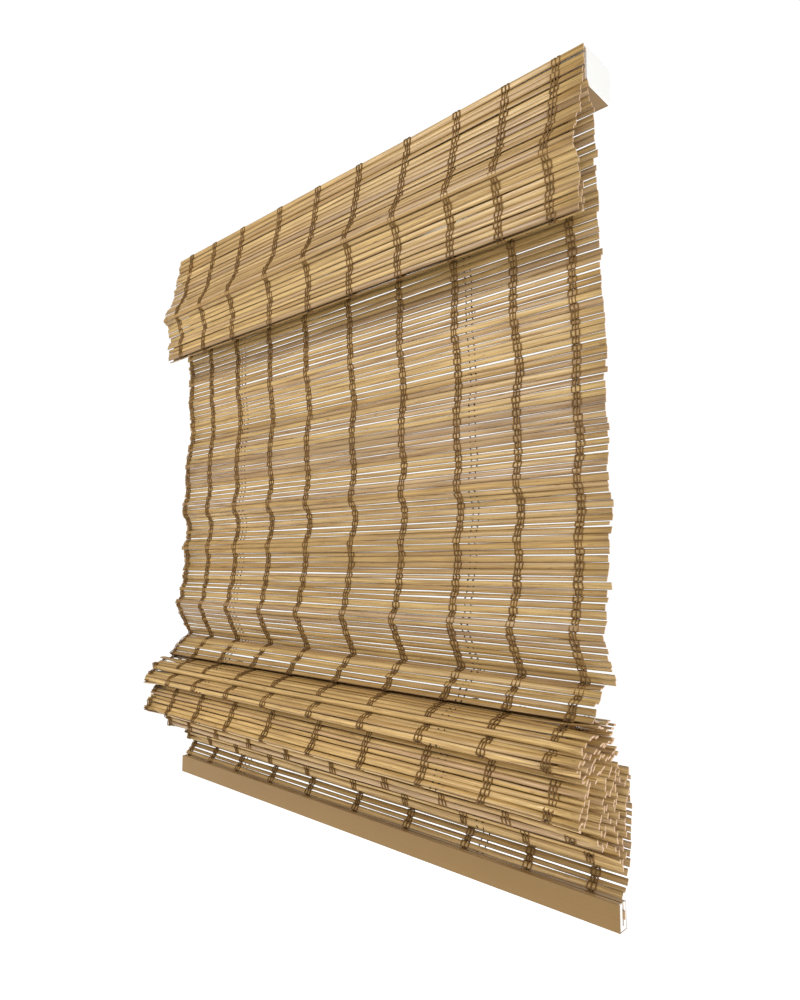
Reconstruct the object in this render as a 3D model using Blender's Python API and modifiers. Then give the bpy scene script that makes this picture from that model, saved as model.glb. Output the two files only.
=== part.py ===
"""Woven bamboo Roman shade, cordless, drawn part of the way up.

Metres, +Z up, +X to the right, +Y towards the window. The origin is the middle of the headrail's top face.
The woven panel is a chain of stiff half panels between crease lines. The flat part hangs straight, and below
it the rest of the cloth hangs in folded loops down to the slotted bottom rail.
"""

import math

import bmesh
import bpy
from mathutils import Matrix, Vector

# Driving dimensions
WIDTH = 0.762  # over the end caps, and of the woven cloth
RAIL_DEPTH = 0.051
RAIL_HEIGHT = 0.038
SHEET_WALL = 0.0015  # channel and cover
CAP_WALL = 0.0025
CLOTH = 0.002  # woven cloth, slat and thread together
GAP = 0.0003  # between neighbours that touch
CREASE_GAP = 0.0003  # from a crease line to the cloth that folds on it
LIFT_X = 0.220  # lift columns, each side of the middle

# Lift gear in the headrail
SHAFT_RADIUS = 0.003
BORE_CLEARANCE = 0.0004
SPOOL_ROOM = 0.0047  # above and below a spool inside the headrail
GEAR_GAP = 0.0016  # between the turning pieces, and from them to the headrail's walls
SPOOL_FLANGE = RAIL_HEIGHT / 2 - SHEET_WALL - SPOOL_ROOM
CORD_DEPTH = 0.0028  # of cord wound under a spool's flange
SPOOL_BARREL = SPOOL_FLANGE - CORD_DEPTH
SPOOL_LENGTH = 0.036
FLANGE_WALL = 0.002
SHAFT_Y = -RAIL_DEPTH / 2 + SHEET_WALL + GEAR_GAP + SPOOL_FLANGE
SHAFT_Z = -RAIL_HEIGHT / 2
MOTOR_LENGTH = 0.090
MOTOR_X = 0.060
MOTOR_WALL = 0.0015
STORAGE_FLANGE = 0.0085
STORAGE_Y = SHAFT_Y + SPOOL_FLANGE + GEAR_GAP + STORAGE_FLANGE
AXLE_RADIUS = 0.002
STORAGE_BARREL = AXLE_RADIUS + 0.0025
SPRING_THICKNESS = (STORAGE_FLANGE - STORAGE_BARREL) * 0.6
TRAY_MARGIN = 0.0008  # from the turning pieces to the motor housing's rim and floor
CRADLE_WALL = 0.002
CRADLE_MARGIN = 0.001  # from a spool's end to its cradle
BEARING_RADIUS = 0.0055
BEARING_LENGTH = 0.006
EYELET_BORE = 0.0015
EYELET_BODY = 0.003
EYELET_FLANGE = 0.0045
SCREW_HOLE = 0.0025
SCREW_X = 0.300

# Valance
TAPE_WALL = 0.0012
TAPE_HEIGHT = 0.020
VALANCE_TOP = 0.001  # below the headrail's top
VALANCE_DROP = 0.179
HEM_HEIGHT = 0.029
HEM_SETBACK = 0.0075

# Guide rings
RING_RADIUS = 0.0045
RING_WIRE = 0.0008
RING_LIFT = 0.009  # from the crease below to the ring's middle

# Bottom rail
HEM_RAIL_HEIGHT = 0.0252
HEM_RAIL_DEPTH = 0.0135
HEM_RAIL_BOTTOM = -0.856
HEM_RAIL_Y = 0.00525
RAIL_HINGE_Z = HEM_RAIL_BOTTOM + HEM_RAIL_HEIGHT + 0.0015  # the cloth bends just above the rail
SLOT_WIDTH = CLOTH + 0.0008
SLOT_FLOOR = 0.005
WRAP_WALL = 0.0007
ANCHOR_RADIUS = 0.004
ANCHOR_HEIGHT = 0.003

# Crease lines as (Y, Z), down the cloth. Creases at the window side and at the room side take turns.
BAND_TOP = 0.003  # below the headrail's top
BAND_Y = -RAIL_DEPTH / 2 - GAP - CLOTH / 2
CREASES = (
    ("ring", -0.0055, -0.2380),
    ("front", -0.0030, -0.3370),
    ("ring", -0.0035, -0.4360),
    ("front", -0.0070, -0.5350),
    ("ring", 0.0035, -0.6330),
    ("front", -0.0315, -0.6630),
    ("ring", 0.0035, -0.6680),
    ("front", -0.0735, -0.7010),
    ("ring", 0.0005, -0.6780),
    ("front", -0.0735, -0.7440),
    ("ring", 0.0025, -0.6910),
    ("front", -0.0295, -0.7760),
    ("ring", 0.0065, -0.7040),
    ("front", 0.0065, -0.8040),
    ("ring", 0.0245, -0.7120),
)
HEM_KNEE = ("front", 0.0268, -0.7750)  # where the last stretch of cloth bends forward to the rail
PANEL_NAMES = (
    "panel_a_upper",
    "panel_a_lower",
    "panel_b_upper",
    "panel_b_lower",
    "shelf_upper",
    "shelf_lower",
    "loop_1_front",
    "loop_1_back",
    "loop_2_front",
    "loop_2_back",
    "loop_3_front",
    "loop_3_back",
    "loop_4_front",
    "loop_4_back",
)
GATHER_ABOVE = "panel_b_lower"  # the stack of folds hangs from the crease under this one
TOP_BAND_POINTS = (
    (BAND_Y, -BAND_TOP),
    (BAND_Y, -RAIL_HEIGHT - CLOTH),
    (-0.0155, -RAIL_HEIGHT - 0.032),
    (-0.0095, -0.125),
    (CREASES[0][1], CREASES[0][2] + CREASE_GAP),
)
TAPE_Y = BAND_Y - CLOTH / 2 - GAP - TAPE_WALL / 2
VALANCE_Y = TAPE_Y - TAPE_WALL / 2 - GAP - CLOTH / 2
# How far the valance stands forward of its top edge, against how far down
VALANCE_SWELL = (
    (0.0, VALANCE_TOP),
    (0.0020, 0.027),
    (0.0070, 0.052),
    (0.0130, 0.079),
    (0.0265, 0.108),
    (0.0210, 0.120),
    (0.0150, 0.142),
    (0.0160, VALANCE_DROP),
)

BAMBOO = (0.58, 0.40, 0.19, 1.0)
TAN_WRAP = (0.34, 0.19, 0.075, 1.0)
WHITE_PLASTIC = (0.86, 0.86, 0.84, 1.0)
GREY_PLASTIC = (0.30, 0.31, 0.32, 1.0)
STEEL = (0.55, 0.56, 0.58, 1.0)


def clear_scene():
    for thing in list(bpy.data.objects):
        bpy.data.objects.remove(thing, do_unlink=True)


def new_collection(name):
    group = bpy.data.collections.new(name)
    bpy.context.scene.collection.children.link(group)
    return group


def finish(name, colour, roughness, metallic=0.0):
    made = bpy.data.materials.new(name)
    made.use_nodes = True
    shader = made.node_tree.nodes["Principled BSDF"]
    shader.inputs["Base Color"].default_value = colour
    shader.inputs["Roughness"].default_value = roughness
    shader.inputs["Metallic"].default_value = metallic
    return made


def add_object(name, mesh, material=None, parent=None, group=None):
    thing = bpy.data.objects.new(name, mesh)
    if material:
        mesh.materials.append(material)
    (group or PARTS).objects.link(thing)
    thing.parent = parent
    return thing


def add_axis(name, place, parent=None):
    """An empty on a joint's axis; what moves on the joint is its child."""
    axis = bpy.data.objects.new(name, None)
    PARTS.objects.link(axis)
    axis.parent = parent
    axis.location = Vector(place) - (world_place(parent) if parent else Vector((0, 0, 0)))
    return axis


def world_place(thing):
    place = Vector((0, 0, 0))
    while thing is not None:
        place += thing.location
        thing = thing.parent
    return place


def put(thing, place):
    """Sets an object's world place, whatever its parent."""
    thing.location = Vector(place) - (world_place(thing.parent) if thing.parent else Vector((0, 0, 0)))
    return thing


def box_mesh(name, size):
    mesh = bpy.data.meshes.new(name)
    shape = bmesh.new()
    bmesh.ops.create_cube(shape, size=1.0)
    bmesh.ops.scale(shape, vec=Vector(size), verts=shape.verts)
    shape.to_mesh(mesh)
    shape.free()
    return mesh


def box(name, size, place, material=None, parent=None, group=None):
    return put(add_object(name, box_mesh(name, size), material, parent, group), place)


def rod_mesh(name, radius, length, sides=24):
    """A cylinder along X."""
    mesh = bpy.data.meshes.new(name)
    shape = bmesh.new()
    bmesh.ops.create_cone(shape, cap_ends=True, segments=sides, radius1=radius, radius2=radius, depth=length)
    bmesh.ops.rotate(shape, verts=shape.verts, cent=(0, 0, 0), matrix=Matrix.Rotation(math.pi / 2, 3, "Y"))
    shape.to_mesh(mesh)
    shape.free()
    return mesh


def rod(name, radius, length, place, material=None, parent=None, group=None, sides=24):
    return put(add_object(name, rod_mesh(name, radius, length, sides), material, parent, group), place)


def cut(target, cutter, operation="DIFFERENCE"):
    cutter.hide_render = True
    cutter.display_type = "WIRE"
    change = target.modifiers.new(cutter.name, "BOOLEAN")
    change.operation = operation
    change.object = cutter
    change.solver = "EXACT"


def turned(name, outline, place, material, parent=None, axis="X", steps=28):
    """A closed outline of (radius, along) turned about X or Z. The outline runs down its outer side."""
    mesh = bpy.data.meshes.new(name)
    points = [(radius, 0.0, along) for radius, along in outline]
    edges = [(i, (i + 1) % len(points)) for i in range(len(points))]
    mesh.from_pydata(points, edges, [])
    thing = add_object(name, mesh, material, parent)
    screw = thing.modifiers.new("turn", "SCREW")
    screw.axis = "Z"
    screw.steps = steps
    screw.render_steps = steps
    screw.use_merge_vertices = True
    screw.merge_threshold = 0.00001
    if axis == "X":
        thing.rotation_euler = (0, math.pi / 2, 0)
    return put(thing, place)


def sheet(name, line, wall, material, parent, centre_x=0.0, width=WIDTH):
    """A cloth or metal strip: a line of (Y, Z) points given a wall each side of it, and drawn along X."""
    outline = offset_line(line, wall / 2) + offset_line(line, -wall / 2)[::-1]
    curve = bpy.data.curves.new(name, "CURVE")
    curve.dimensions = "2D"
    curve.fill_mode = "BOTH"
    curve.extrude = width / 2
    spline = curve.splines.new("POLY")
    spline.points.add(len(outline) - 1)
    for point, (y, z) in zip(spline.points, outline):
        point.co = (y, z, 0.0, 1.0)
    spline.use_cyclic_u = True
    thing = bpy.data.objects.new(name, curve)
    PARTS.objects.link(thing)
    curve.materials.append(material)
    thing.parent = parent
    thing.rotation_euler = (math.pi / 2, 0.0, math.pi / 2)
    return put(thing, (centre_x, 0.0, 0.0))


def offset_line(line, distance):
    """The line moved sideways by a distance, with mitred corners."""
    moved = []
    for i, point in enumerate(line):
        before = line[max(i - 1, 0)]
        after = line[min(i + 1, len(line) - 1)]
        normals = []
        for a, b in ((before, point), (point, after)):
            run = math.hypot(b[0] - a[0], b[1] - a[1])
            if run > 0:
                normals.append((-(b[1] - a[1]) / run, (b[0] - a[0]) / run))
        y = sum(n[0] for n in normals) / len(normals)
        z = sum(n[1] for n in normals) / len(normals)
        stretch = distance / (y * y + z * z)
        moved.append((point[0] + y * stretch, point[1] + z * stretch))
    return moved


def panel_line(top, bottom):
    """The middle line of a half panel between two creases. A ring crease folds on the cloth's room face and
    a front crease on its window face, so the cloth leans across from one crease line to the other."""
    across = CLOTH / 2 + CREASE_GAP
    y, z = bottom[1] - top[1], bottom[2] - top[2]
    span = math.hypot(y, z)
    towards = 1 if top[0] == "ring" else -1
    lean = math.asin(2 * across / span) * towards
    angle = math.atan2(-y, -z) + lean
    down = (-math.sin(angle), -math.cos(angle))
    back = (math.cos(angle), -math.sin(angle))
    run = math.sqrt(span * span - 4 * across * across)
    start = (top[1] + back[0] * across * towards, top[2] + back[1] * across * towards)

    def along(distance):
        return (start[0] + down[0] * distance, start[1] + down[1] * distance)

    return along(CREASE_GAP), along(run - CREASE_GAP)


def build_headrail():
    inside = WIDTH - 2 * CAP_WALL - 2 * GAP
    channel = box(
        "headrail_channel", (inside, RAIL_DEPTH, RAIL_HEIGHT), (0, 0, -RAIL_HEIGHT / 2), WHITE
    )
    hollow = box(
        "channel_hollow",
        (WIDTH, RAIL_DEPTH - 2 * SHEET_WALL, RAIL_HEIGHT),
        (0, 0, -RAIL_HEIGHT / 2 - SHEET_WALL),
        group=CUTTERS,
    )
    cut(channel, hollow)
    for side in (-1, 1):
        drill = put(
            add_object(f"screw_drill_{side}", rod_mesh("screw_drill", SCREW_HOLE, RAIL_HEIGHT), group=CUTTERS),
            (side * SCREW_X, 0, 0),
        )
        drill.rotation_euler = (0, math.pi / 2, 0)
        cut(channel, drill)
    cover_depth = RAIL_DEPTH - 2 * SHEET_WALL - 2 * GAP
    cover = box(
        "headrail_cover", (inside, cover_depth, SHEET_WALL), (0, 0, -RAIL_HEIGHT + SHEET_WALL / 2), TAN
    )
    for side in (-1, 1):
        drill = put(
            add_object(
                f"eyelet_drill_{side}", rod_mesh("eyelet_drill", EYELET_BODY + GAP, RAIL_HEIGHT), group=CUTTERS
            ),
            (side * LIFT_X, eyelet_y(), -RAIL_HEIGHT),
        )
        drill.rotation_euler = (0, math.pi / 2, 0)
        cut(cover, drill)
        build_eyelet(side)
        build_end(side)


def eyelet_y():
    return SHAFT_Y + SPOOL_BARREL


def build_eyelet(side):
    name = "cord_eyelet_left" if side < 0 else "cord_eyelet_right"
    top = SHEET_WALL + GAP + 0.001
    outline = (
        (EYELET_FLANGE, top),
        (EYELET_FLANGE, SHEET_WALL + GAP),
        (EYELET_BODY, SHEET_WALL + GAP),
        (EYELET_BODY, -0.0005),
        (EYELET_BORE, -0.0005),
        (EYELET_BORE, top),
    )
    turned(name, outline, (side * LIFT_X, eyelet_y(), -RAIL_HEIGHT), WHITE, axis="Z", steps=20)


def build_end(side):
    name = "left" if side < 0 else "right"
    cap_middle = side * (WIDTH / 2 - CAP_WALL / 2)
    cap = box(f"end_cap_{name}", (CAP_WALL, RAIL_DEPTH, RAIL_HEIGHT), (cap_middle, 0, -RAIL_HEIGHT / 2), WHITE)
    boss_radius = BEARING_RADIUS + GAP + 0.002
    inner_face = side * (WIDTH / 2 - CAP_WALL)
    boss = rod(
        f"boss_{name}",
        boss_radius,
        BEARING_LENGTH + CAP_WALL,
        (inner_face - side * (BEARING_LENGTH - CAP_WALL) / 2, SHAFT_Y, SHAFT_Z),
        group=CUTTERS,
    )
    cut(cap, boss, "UNION")
    seat = rod(
        f"seat_{name}",
        BEARING_RADIUS + GAP,
        BEARING_LENGTH + 0.002,
        (inner_face - side * (BEARING_LENGTH + 0.002) / 2, SHAFT_Y, SHAFT_Z),
        group=CUTTERS,
    )
    cut(cap, seat)
    outline = ring_outline(SHAFT_RADIUS + BORE_CLEARANCE, BEARING_RADIUS, BEARING_LENGTH - GAP)
    turned(
        f"shaft_bearing_{name}",
        outline,
        (inner_face - side * (BEARING_LENGTH + GAP) / 2, SHAFT_Y, SHAFT_Z),
        STEEL_GREY,
    )


def ring_outline(inner, outer, length):
    return ((outer, length / 2), (outer, -length / 2), (inner, -length / 2), (inner, length / 2))


def spool_outline(bore, barrel, flange, length, wall):
    half = length / 2
    return (
        (flange, half),
        (flange, half - wall),
        (barrel, half - wall),
        (barrel, -half + wall),
        (flange, -half + wall),
        (flange, -half),
        (bore, -half),
        (bore, half),
    )


def build_lift():
    turn = add_axis("shaft_axis", (0, SHAFT_Y, SHAFT_Z))
    shaft_length = WIDTH - 2 * CAP_WALL - 2 * GAP
    rod("lift_shaft", SHAFT_RADIUS, shaft_length, (0, SHAFT_Y, SHAFT_Z), STEEL_GREY, turn, sides=16)
    bore = SHAFT_RADIUS + GAP
    for side, name in ((-1, "left"), (1, "right")):
        outline = spool_outline(bore, SPOOL_BARREL, SPOOL_FLANGE, SPOOL_LENGTH, FLANGE_WALL)
        turned(f"cord_spool_{name}", outline, (side * LIFT_X, SHAFT_Y, SHAFT_Z), GREY, turn)
        build_cradle(side, name)
    drum_length = MOTOR_LENGTH - 2 * MOTOR_WALL - 2 * CRADLE_MARGIN
    outline = spool_outline(bore, SPOOL_BARREL, SPOOL_FLANGE, drum_length, FLANGE_WALL)
    turned("output_drum", outline, (MOTOR_X, SHAFT_Y, SHAFT_Z), GREY, turn)
    storage = add_axis("storage_axis", (MOTOR_X, STORAGE_Y, SHAFT_Z))
    outline = spool_outline(
        AXLE_RADIUS + BORE_CLEARANCE, STORAGE_BARREL, STORAGE_FLANGE, drum_length, FLANGE_WALL
    )
    turned("storage_drum", outline, (MOTOR_X, STORAGE_Y, SHAFT_Z), GREY, storage)
    spring_inner = STORAGE_BARREL + GAP
    outline = ring_outline(spring_inner, spring_inner + SPRING_THICKNESS, drum_length - 2 * FLANGE_WALL - 2 * GAP)
    turned("power_spring", outline, (MOTOR_X, STORAGE_Y, SHAFT_Z), STEEL_GREY, storage)
    rod("storage_axle", AXLE_RADIUS, MOTOR_LENGTH, (MOTOR_X, STORAGE_Y, SHAFT_Z), STEEL_GREY, sides=16)
    build_motor_housing()


def build_cradle(side, name):
    """Two uprights on a base, with the shaft through both and the spool between them."""
    floor = -RAIL_HEIGHT + SHEET_WALL + GAP
    length = SPOOL_LENGTH + 2 * CRADLE_MARGIN + 2 * CRADLE_WALL
    height = SHAFT_Z + SHAFT_RADIUS + 0.003 - floor
    base = box(
        f"spool_cradle_{name}",
        (length, 2 * SPOOL_FLANGE, height),
        (side * LIFT_X, SHAFT_Y, floor + height / 2),
        GREY,
    )
    well = SPOOL_LENGTH + 2 * CRADLE_MARGIN
    cradle_floor = SHAFT_Z - SPOOL_FLANGE - TRAY_MARGIN
    hollow = box(
        f"cradle_hollow_{name}",
        (well, 0.1, 0.1),
        (side * LIFT_X, 0, cradle_floor + 0.05),
        group=CUTTERS,
    )
    cut(base, hollow)
    bore = rod(
        f"cradle_bore_{name}",
        SHAFT_RADIUS + BORE_CLEARANCE,
        2 * length,
        (side * LIFT_X, SHAFT_Y, SHAFT_Z),
        group=CUTTERS,
    )
    cut(base, bore)
    window = put(
        add_object(
            f"cradle_window_{name}", rod_mesh("cradle_window", EYELET_FLANGE + GAP, 0.03), group=CUTTERS
        ),
        (side * LIFT_X, eyelet_y(), floor),
    )
    window.rotation_euler = (0, math.pi / 2, 0)
    cut(base, window)


def build_motor_housing():
    """An open-topped tray with a drum bore and an axle seat in each end."""
    floor = -RAIL_HEIGHT + SHEET_WALL + GAP
    front = SHAFT_Y - SPOOL_FLANGE - TRAY_MARGIN
    back = STORAGE_Y + STORAGE_FLANGE + TRAY_MARGIN
    depth = back - front
    height = SHAFT_Z + SHAFT_RADIUS + 0.004 - floor
    middle = (MOTOR_X, (front + back) / 2, floor + height / 2)
    housing = box("motor_housing", (MOTOR_LENGTH, depth, height), middle, WHITE)
    inner = box(
        "motor_hollow",
        (MOTOR_LENGTH - 2 * MOTOR_WALL, 0.2, 0.1),
        (MOTOR_X, 0, SHAFT_Z - SPOOL_FLANGE - TRAY_MARGIN + 0.05),
        group=CUTTERS,
    )
    cut(housing, inner)
    for label, radius, y in (
        ("shaft", SHAFT_RADIUS + BORE_CLEARANCE, SHAFT_Y),
        ("axle", AXLE_RADIUS + GAP, STORAGE_Y),
    ):
        cut(housing, rod(f"motor_bore_{label}", radius, 2 * MOTOR_LENGTH, (MOTOR_X, y, SHAFT_Z), group=CUTTERS))


def build_valance():
    box("valance_tape", (WIDTH, TAPE_WALL, TAPE_HEIGHT), (0, TAPE_Y, -BAND_TOP - TAPE_HEIGHT / 2), WHITE)
    hinge = add_axis("valance_axis", (0, VALANCE_Y, -VALANCE_TOP))
    line = [(VALANCE_Y - swell, -drop) for swell, drop in VALANCE_SWELL]
    sheet("valance_panel", line, CLOTH, BAMBOO_CLOTH, hinge)
    hem_y = line[-1][0] + HEM_SETBACK
    fold = CLOTH / 2 + GAP
    hem = (
        (hem_y, -VALANCE_DROP + HEM_HEIGHT + 0.004),
        (hem_y, -VALANCE_DROP + 0.008),
        (line[-1][0] + CLOTH + GAP, -VALANCE_DROP + fold),
    )
    sheet("valance_hem", hem, CLOTH, BAMBOO_CLOTH, hinge)


def build_cloth():
    sheet("top_band", TOP_BAND_POINTS, CLOTH, BAMBOO_CLOTH, None)
    add_rings("top_band", (TOP_BAND_POINTS[-2], TOP_BAND_POINTS[-1]), None)
    parent = None
    for name, top, bottom in zip(PANEL_NAMES, CREASES, CREASES[1:]):
        parent = add_axis(f"{name}_axis", (0, top[1], top[2]), parent)
        line = panel_line(top, bottom)
        sheet(name, line, CLOTH, BAMBOO_CLOTH, parent)
        if name == GATHER_ABOVE:
            # These two stay level while the half panels on each side of them fold.
            parent = add_axis("gather_axis", (0, bottom[1], bottom[2]), parent)
            add_rings("gather", (line[0], (line[1][0], bottom[2])), parent, 0.0)
        elif bottom[0] == "ring":
            add_rings(name, line, parent)
    parent = add_axis("hem_axis", (0, CREASES[-1][1], CREASES[-1][2]), parent)
    start, knee = panel_line(CREASES[-1], HEM_KNEE)
    sheet("hem_panel", (start, knee, (HEM_RAIL_Y, RAIL_HINGE_Z + CREASE_GAP)), CLOTH, BAMBOO_CLOTH, parent)
    return add_axis("rail_axis", (0, HEM_RAIL_Y, RAIL_HINGE_Z), parent)


def add_rings(name, line, parent, lift=RING_LIFT):
    """A guide ring in each lift column, flat on the cloth's window face just above its lower edge."""
    (top_y, top_z), (end_y, end_z) = line
    run = math.hypot(end_y - top_y, end_z - top_z)
    down = ((end_y - top_y) / run, (end_z - top_z) / run)
    back = (-down[1], down[0])
    off = CLOTH / 2 + GAP + RING_WIRE
    y = end_y - down[0] * lift + back[0] * off
    z = end_z - down[1] * lift + back[1] * off
    for side, label in ((-1, "left"), (1, "right")):
        ring = turned(f"ring_{name}_{label}", wire_section(), (side * LIFT_X, y, z), STEEL_GREY, parent, "Z", 14)
        ring.rotation_euler = (-math.atan2(back[0], back[1]), 0, 0)


def wire_section(sides=6):
    """The ring wire's round section, running down its outer side."""
    turns = [2 * math.pi * i / sides for i in range(sides)]
    return [(RING_RADIUS + RING_WIRE * math.cos(a), -RING_WIRE * math.sin(a)) for a in turns]


def build_hem_rail(parent):
    """The slotted core, its wrap, and the last slats of the cloth held in the slot."""
    tongue = ((HEM_RAIL_Y, RAIL_HINGE_Z - CREASE_GAP), (HEM_RAIL_Y, HEM_RAIL_BOTTOM + SLOT_FLOOR + GAP))
    sheet("hem_tongue", tongue, CLOTH, BAMBOO_CLOTH, parent)
    middle_z = HEM_RAIL_BOTTOM + HEM_RAIL_HEIGHT / 2
    core_depth = HEM_RAIL_DEPTH - 2 * WRAP_WALL - 2 * GAP
    core_bottom = HEM_RAIL_BOTTOM + WRAP_WALL + GAP
    core_height = HEM_RAIL_BOTTOM + HEM_RAIL_HEIGHT - core_bottom
    core = box(
        "rail_core", (WIDTH, core_depth, core_height), (0, HEM_RAIL_Y, core_bottom + core_height / 2), WHITE, parent
    )
    slot = box(
        "rail_slot",
        (2 * WIDTH, SLOT_WIDTH, HEM_RAIL_HEIGHT),
        (0, HEM_RAIL_Y, HEM_RAIL_BOTTOM + SLOT_FLOOR + HEM_RAIL_HEIGHT / 2),
        group=CUTTERS,
    )
    cut(core, slot)
    wrap = box(
        "rail_wrap", (WIDTH, HEM_RAIL_DEPTH, HEM_RAIL_HEIGHT), (0, HEM_RAIL_Y, middle_z), TAN, parent
    )
    inside = box(
        "wrap_hollow",
        (2 * WIDTH, core_depth + 2 * GAP, HEM_RAIL_HEIGHT),
        (0, HEM_RAIL_Y, middle_z + WRAP_WALL),
        group=CUTTERS,
    )
    cut(wrap, inside)
    for side, label in ((-1, "left"), (1, "right")):
        anchor = put(
            add_object(
                f"cord_anchor_{label}", rod_mesh("cord_anchor", ANCHOR_RADIUS, ANCHOR_HEIGHT, 16), GREY, parent
            ),
            (
                side * LIFT_X,
                HEM_RAIL_Y + HEM_RAIL_DEPTH / 2 + GAP + ANCHOR_HEIGHT / 2,
                middle_z,
            ),
        )
        anchor.rotation_euler = (0, 0, math.pi / 2)


clear_scene()
PARTS = new_collection("bamboo_shade")
CUTTERS = new_collection("cutters")
BAMBOO_CLOTH = finish("bamboo_cloth", BAMBOO, 0.6)
TAN = finish("tan_wrap", TAN_WRAP, 0.5)
WHITE = finish("white_plastic", WHITE_PLASTIC, 0.4)
GREY = finish("grey_plastic", GREY_PLASTIC, 0.45)
STEEL_GREY = finish("steel", STEEL, 0.35, 1.0)
build_headrail()
build_lift()
build_valance()
build_hem_rail(build_cloth())
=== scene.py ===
import math

import bpy
import numpy as np
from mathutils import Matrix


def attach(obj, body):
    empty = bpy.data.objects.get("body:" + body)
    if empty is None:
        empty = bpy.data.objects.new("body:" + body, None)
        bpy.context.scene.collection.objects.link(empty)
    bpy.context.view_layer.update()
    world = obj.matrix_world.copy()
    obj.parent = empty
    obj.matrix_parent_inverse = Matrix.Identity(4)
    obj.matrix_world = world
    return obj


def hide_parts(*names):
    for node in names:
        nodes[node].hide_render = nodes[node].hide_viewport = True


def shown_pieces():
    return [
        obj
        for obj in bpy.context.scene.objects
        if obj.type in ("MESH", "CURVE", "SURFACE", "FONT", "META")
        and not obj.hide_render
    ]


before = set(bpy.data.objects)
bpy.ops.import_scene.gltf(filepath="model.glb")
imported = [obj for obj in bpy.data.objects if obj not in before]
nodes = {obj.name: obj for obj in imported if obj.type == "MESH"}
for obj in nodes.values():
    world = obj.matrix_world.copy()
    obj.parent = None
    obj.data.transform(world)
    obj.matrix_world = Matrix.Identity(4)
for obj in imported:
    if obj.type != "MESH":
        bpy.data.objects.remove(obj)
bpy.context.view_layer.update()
scene = bpy.context.scene
rng = np.random.default_rng(41)
print("frame loaded:", len(nodes), "nodes")

# camera
cameraView = {
    "place": (0.6985, -0.6441, -0.5161),
    "tiltUp": 5.05,  # degrees above level
    "turnLeft": 42.70,
    "lens": 25.66,
    "sensor": 36.0,
    "nearest": 0.01,
}
cameraData = bpy.data.cameras.new("viewCamera")
cameraData.lens = cameraView["lens"]
cameraData.sensor_width = cameraView["sensor"]
cameraData.clip_start = cameraView["nearest"]
camera = bpy.data.objects.new("viewCamera", cameraData)
camera.location = cameraView["place"]
cameraTilt = math.radians(90 + cameraView["tiltUp"])
camera.rotation_euler = (cameraTilt, 0.0, math.radians(cameraView["turnLeft"]))
scene.collection.objects.link(camera)
scene.camera = camera
scene.view_settings.view_transform = "Standard"


def linearColour(red, green, blue):
    # a screen colour from 0 to 255 as the linear light that Blender works in
    c = np.array([red, green, blue]) / 255.0
    c = np.where(c <= 0.04045, c / 12.92, ((c + 0.055) / 1.055) ** 2.4)
    return (float(c[0]), float(c[1]), float(c[2]), 1.0)


def meshObject(name, points, faces, materials, faceMaterial=None, smooth=True):
    # points and faces as one mesh at the origin, with a material number for each face
    mesh = bpy.data.meshes.new(name)
    mesh.from_pydata(points.tolist(), [], faces)
    for m in materials:
        mesh.materials.append(m)
    if faceMaterial is not None:
        mesh.polygons.foreach_set("material_index", np.asarray(faceMaterial, np.int32))
    if smooth:
        mesh.polygons.foreach_set("use_smooth", np.ones(len(mesh.polygons), bool))
    mesh.update()
    obj = bpy.data.objects.new(name, mesh)
    scene.collection.objects.link(obj)
    return obj


def addAttribute(obj, name, values):
    # one number for each point
    attribute = obj.data.attributes.new(name, "FLOAT", "POINT")
    attribute.data.foreach_set("value", np.asarray(values, np.float32))


# shader helpers
def newGroup(name, inputs, outputs):
    group = bpy.data.node_groups.new(name, "ShaderNodeTree")
    for label, value in inputs.items():
        socket = group.interface.new_socket(
            name=label, in_out="INPUT", socket_type="NodeSocketFloat"
        )
        socket.default_value = value
    for label in outputs:
        group.interface.new_socket(name=label, in_out="OUTPUT", socket_type="NodeSocketFloat")
    return group, group.nodes.new("NodeGroupInput"), group.nodes.new("NodeGroupOutput")


def setSocket(tree, socket, value):
    if isinstance(value, bpy.types.NodeSocket):
        tree.links.new(value, socket)
    else:
        socket.default_value = value


def addNode(tree, kind, settings=None, **sockets):
    # a socket is named, or numbered as i0, i1 and so on
    node = tree.nodes.new(kind)
    for key, value in (settings or {}).items():
        setattr(node, key, value)
    for key, value in sockets.items():
        numbered = key[0] == "i" and key[1:].isdigit()
        setSocket(tree, node.inputs[int(key[1:]) if numbered else key], value)
    return node


def placeGroup(tree, group, **values):
    node = tree.nodes.new("ShaderNodeGroup")
    node.node_tree = group
    for key, value in values.items():
        setSocket(tree, node.inputs[key], value)
    return node


def objectCoords(tree):
    return addNode(tree, "ShaderNodeTexCoord").outputs["Object"]


def attributeValue(tree, name):
    return addNode(tree, "ShaderNodeAttribute", {"attribute_name": name}).outputs["Fac"]


def mathNode(tree, operation, a, b=0.0):
    return addNode(tree, "ShaderNodeMath", {"operation": operation}, i0=a, i1=b).outputs[0]


def scaled(tree, vector, factors):
    node = addNode(tree, "ShaderNodeVectorMath", {"operation": "MULTIPLY"}, i0=vector, i1=factors)
    return node.outputs[0]


def noise(tree, vector, scale, detail, **more):
    sockets = dict(more, Vector=vector, Scale=scale, Detail=detail)
    return addNode(tree, "ShaderNodeTexNoise", None, **sockets).outputs[0]


def mixColour(tree, factor, a, b, blend="MIX"):
    settings = {"data_type": "RGBA", "blend_type": blend}
    return addNode(tree, "ShaderNodeMix", settings, i0=factor, i6=a, i7=b).outputs[2]


def spread(tree, value, low, high, outLow=0.0, outHigh=1.0):
    # low to high becomes outLow to outHigh, held level beyond both
    node = addNode(
        tree, "ShaderNodeMapRange", None, i0=value, i1=low, i2=high, i3=outLow, i4=outHigh
    )
    return node.outputs[0]


def patches(tree, cloud, amount):
    # the share of a second colour where a cloudy mask is high
    return spread(tree, cloud, 0.35, 0.7, 0.0, amount)


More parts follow.
